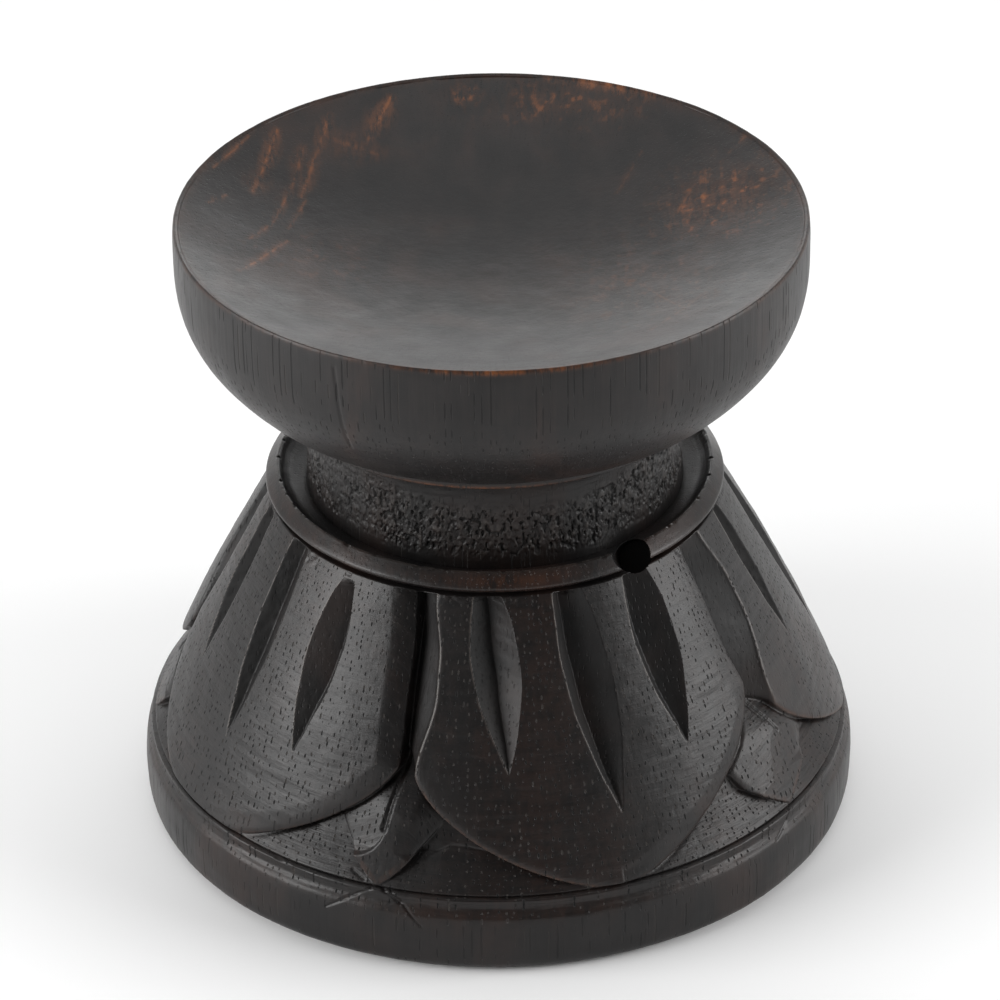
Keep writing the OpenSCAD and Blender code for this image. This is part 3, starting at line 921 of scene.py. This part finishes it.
PORE_PITCH = 0.00115   # in metres, along a growth ring
RING_PITCH = 0.00054   # in metres, from one row of pores to the next
PORE_R = 0.165         # in millimetres, of the widest pores
BAND_SCALE = (150, 2300, 30)  # growth bands: per metre around, outwards and up
FIBRE_SCALE = (1000, 1000, 40)
BROAD_SCALE = (60, 60, 22)
CLOUD_SCALE = (190, 70, 190)
RUB_SCALE = (900, 260, 200)
GLOSS_SCALE = (150, 150, 60)
DARK_STAIN = (0.0052, 0.0046, 0.0046)
BROWN_STAIN = (0.0110, 0.0087, 0.0082)
RED_STAIN = (0.0160, 0.0095, 0.0078)
USUAL_RED = 0.4        # the redness at which RED_STAIN is used as it is
RUBBED = (0.250, 0.082, 0.024)
# light grey of edges where the stain is worn, also a painted highlight along lit edges
LIGHT_GREY_WEAR_AND_HIGHLIGHT = (0.105, 0.090, 0.080)
# near black of pores and pits; also painted shade inside the pores and on the bell's flute and
# V-cut walls
PORE_BLACK = (0.0010, 0.0009, 0.0009)
PORE_DUST = (0.030, 0.026, 0.023)


def wood_pores(n):
    """Mask of the vessels: upright tubes in rings round the axis, and the dust in some."""
    arc, radius, _ = n.around_axis()
    drift = n.math("MULTIPLY", n.noise((60, 60, 75), 2, 0.5), 0.0022)
    radius = n.math("ADD", radius, drift)
    cell = n.joined(n.math("DIVIDE", arc, PORE_PITCH), n.math("DIVIDE", radius, RING_PITCH))
    cells = n.add("ShaderNodeTexVoronoi", feature="F1", voronoi_dimensions="2D")
    cells.inputs["Scale"].default_value = 1.0
    cells.inputs["Randomness"].default_value = 0.8
    n.link(cell, cells.inputs["Vector"])
    away = n.vector("SUBTRACT", cell, cells.outputs["Position"])["Vector"]
    away = n.vector("MULTIPLY", away, (PORE_PITCH / MM, RING_PITCH / MM, 0.0))["Vector"]
    distance = n.vector("LENGTH", away, None)["Value"]
    kind = n.add("ShaderNodeSeparateColor")
    n.link(cells.outputs["Color"], kind.inputs["Color"])
    size = n.math("MULTIPLY", n.ramp(kind.outputs["Red"], -0.1, 0.9), PORE_R)
    pore = n.ramp(n.math("SUBTRACT", size, distance), 0.0, 0.05)
    pore = n.math("MULTIPLY", pore, n.attribute("pored"))
    return pore, n.ramp(kind.outputs["Green"], 0.55, 0.65)


def growth_lines(n):
    """Fine bands that follow the growth rings round the axis."""
    arc, radius, height = n.around_axis()
    bands = n.add("ShaderNodeTexNoise")
    bands.inputs["Scale"].default_value = 1.0
    bands.inputs["Detail"].default_value = 3.0
    bands.inputs["Roughness"].default_value = 0.6
    along = n.math("MULTIPLY", arc, BAND_SCALE[0])
    across = n.math("MULTIPLY", radius, BAND_SCALE[1])
    up = n.math("MULTIPLY", height, BAND_SCALE[2])
    n.link(n.joined(along, across, up), bands.inputs["Vector"])
    return bands.outputs["Fac"]


def lighter(colour, factor):
    return tuple(channel * factor for channel in colour)


def stained_wood(piece):
    """Dark stained hardwood: upright grain, rows of pores, growth bands, rub and wear, with painted
    highlights along edges and painted shade in recesses.
    """
    n = Nodes("stained_" + piece.slot)
    fibre = n.noise(FIBRE_SCALE, 5, 0.6)
    broad = n.noise(BROAD_SCALE, 3, 0.5, 0.6)
    cloud = n.noise(CLOUD_SCALE, 4, 0.55)
    pored = n.attribute("pored")
    pore, dusty = wood_pores(n)
    bands = growth_lines(n)
    turned = n.weighted((fibre, 0.45), (bands, 0.30), (broad, 0.25))
    smooth = n.weighted((cloud, 0.6), (broad, 0.4))
    tone = n.weighted((turned, pored), (smooth, n.math("SUBTRACT", 1.0, pored)))
    brown = n.mix(n.ramp(broad, 0.46, 0.66), lighter(BROWN_STAIN, piece.lightness),
                  lighter(RED_STAIN, piece.lightness * piece.red / USUAL_RED))
    colour = n.mix(n.ramp(tone, 0.38, 0.64), lighter(DARK_STAIN, piece.lightness), brown)
    streak = n.noise(RUB_SCALE, 6, 0.75)
    rub = n.math("MULTIPLY", n.attribute("wear"), n.ramp(streak, 0.36, 0.60))
    colour = n.mix(n.math("MULTIPLY", rub, 0.85 * piece.rubbed), colour, RUBBED)
    # worn edges and painted highlights along edges are coloured light grey
    wear_and_highlight_share = n.math("MULTIPLY", n.attribute("arris_wear_and_highlight"), n.ramp(fibre, 0.30, 0.55))
    colour = n.mix(n.math("MULTIPLY", wear_and_highlight_share, 0.65), colour, LIGHT_GREY_WEAR_AND_HIGHLIGHT)
    # pores: most are painted near black, partly stain in them and partly painted shade inside them;
    # the rest hold pale dust
    colour = n.mix(n.math("MULTIPLY", pore, 0.95), colour, n.mix(dusty, PORE_BLACK, PORE_DUST))
    # pits, and painted shade on the bell's flute and V-cut walls, are darkened towards near black
    pits_and_painted_shade = n.attribute("pits_and_painted_shade")
    colour = n.mix(pits_and_painted_shade, colour, PORE_BLACK)
    n.link(colour, n.shader.inputs["Base Color"])
    gloss = n.noise(GLOSS_SCALE, 4, 0.6)
    rough = n.weighted((gloss, 0.22), (pore, 0.45), (pits_and_painted_shade, 0.4))
    rough = n.math("ADD", rough, piece.roughness - 0.11)
    n.link(rough, n.shader.inputs["Roughness"])
    n.shader.inputs["Specular IOR Level"].default_value = 0.34
    normal = n.bump(n.math("SUBTRACT", 1.0, pore), 0.75, 0.0005)
    normal = n.bump(fibre, 0.20, 0.00030, normal)
    normal = n.bump(n.math("MULTIPLY", bands, pored), 0.30, 0.00030, normal)
    n.link(normal, n.shader.inputs["Normal"])
    return n.material


# ------------------------------------------------------- camera, light and floor

CAMERA_PLACE = (0.0008, -0.7200, 0.4892)
CAMERA_PITCH = 31.16
CAMERA_ROLL = -0.80
CAMERA_LENS = 179.5
LIT_POINT = (0, 0, 0.05)
# Name, place, width and height, and power of each softbox.
LAMPS = [
    ("left_softbox", (-0.76, -0.26, 0.30), (0.60, 0.46), 7.2),
    ("right_softbox", (0.77, -0.14, 0.29), (0.50, 0.46), 5.4),
    ("back_softbox", (0.0, 1.10, 0.22), (1.30, 0.36), 4),
    ("top_softbox", (0.0, 0.20, 0.95), (0.8, 0.5), 1.5),
]
WORLD_FRONT = 0.10     # strength of the white surroundings in front of the object
WORLD_BACK = 0.85      # and behind it
FLOOR_HALF = 3.0
FLOOR_GAP = 0.0002     # keeps the floor's surface out of the plinth's


def add_camera():
    data = bpy.data.cameras.new("camera")
    data.lens = CAMERA_LENS
    data.sensor_width = 36
    data.clip_start = 0.05
    camera = bpy.data.objects.new("camera", data)
    camera.rotation_mode = "XYZ"
    camera.location = CAMERA_PLACE
    camera.rotation_euler = (math.radians(90 - CAMERA_PITCH), 0, 0)
    bpy.context.scene.collection.objects.link(camera)
    bpy.context.view_layer.update()
    camera.rotation_euler.rotate_axis("Z", math.radians(CAMERA_ROLL))
    bpy.context.scene.camera = camera


def add_area(name, location, size, power):
    """A soft rectangular lamp that looks at the middle of the object."""
    data = bpy.data.lights.new(name, "AREA")
    data.shape = "RECTANGLE"
    data.size, data.size_y = size
    data.energy = power
    light = bpy.data.objects.new(name, data)
    light.location = location
    direction = np.array(LIT_POINT) - np.array(location)
    yaw = math.atan2(direction[1], direction[0]) - math.pi / 2
    pitch = math.atan2(math.hypot(direction[0], direction[1]), -direction[2])
    light.rotation_euler = (pitch, 0, yaw)
    bpy.context.scene.collection.objects.link(light)


def studio_world():
    """White surroundings, bright behind the object and dim in front of it."""
    world = bpy.data.worlds.new("studio")
    world.use_nodes = True
    tree = world.node_tree
    background = tree.nodes["Background"]
    background.inputs["Color"].default_value = (1, 1, 1, 1)
    coord = tree.nodes.new("ShaderNodeTexCoord")
    split = tree.nodes.new("ShaderNodeSeparateXYZ")
    fade = tree.nodes.new("ShaderNodeMapRange")
    fade.interpolation_type = "SMOOTHSTEP"
    fade.inputs["From Min"].default_value = -0.6
    fade.inputs["From Max"].default_value = 0.8
    fade.inputs["To Min"].default_value = WORLD_FRONT
    fade.inputs["To Max"].default_value = WORLD_BACK
    tree.links.new(coord.outputs["Generated"], split.inputs["Vector"])
    tree.links.new(split.outputs["Y"], fade.inputs["Value"])
    tree.links.new(fade.outputs["Result"], background.inputs["Strength"])
    return world


def add_studio():
    for lamp in LAMPS:
        add_area(*lamp)
    bpy.context.scene.world = studio_world()
    mesh = bpy.data.meshes.new("floor")
    far = FLOOR_HALF
    corners = [(-far, -far, 0), (far, -far, 0), (far, far, 0), (-far, far, 0)]
    mesh.from_pydata(corners, [], [(0, 1, 2, 3)])
    floor = bpy.data.objects.new("floor", mesh)
    floor.location = (0, 0, -FLOOR_GAP)
    paper = Nodes("floor_paper")
    paper.shader.inputs["Base Color"].default_value = (0.96, 0.96, 0.96, 1)
    paper.shader.inputs["Roughness"].default_value = 0.9
    mesh.materials.append(paper.material)
    bpy.context.scene.collection.objects.link(floor)
    bpy.context.scene.view_settings.view_transform = "Standard"


# ----------------------------------------------------------------- everything

# Each piece: how it is made, its CAD node and slot, whether the drill went into it,
# and its wood: how light, how red, how much its rubbed places show, and how rough.
Piece = namedtuple("Piece", "make node slot drilled lightness red rubbed roughness")
PIECES = [
    Piece(build_dish, "seat_dish", "dish_wood", False, 1.45, 0.40, 1.0, 0.42),
    Piece(build_neck, "neck", "neck_wood", True, 0.90, 0.30, 1.0, 0.46),
    Piece(build_collar, "collar_ring", "collar_wood", True, 1.15, 0.45, 0.7, 0.38),
    Piece(build_bell, "petal_drum", "bell_wood", True, 1.00, 0.40, 0.5, 0.40),
    Piece(build_plinth, "plinth", "plinth_wood", False, 1.00, 0.45, 0.5, 0.38),
]


def build():
    add_camera()
    add_studio()
    bit = drill_bit()
    for piece in PIECES:
        made = piece.make()
        bpy.context.scene.collection.objects.link(made)
        if piece.drilled:
            drill(made, bit)
        made.data.materials.clear()
        made.data.materials.append(stained_wood(piece))
        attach(made, "root")
        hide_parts(piece.node)
    bpy.data.objects.remove(bit)


build()
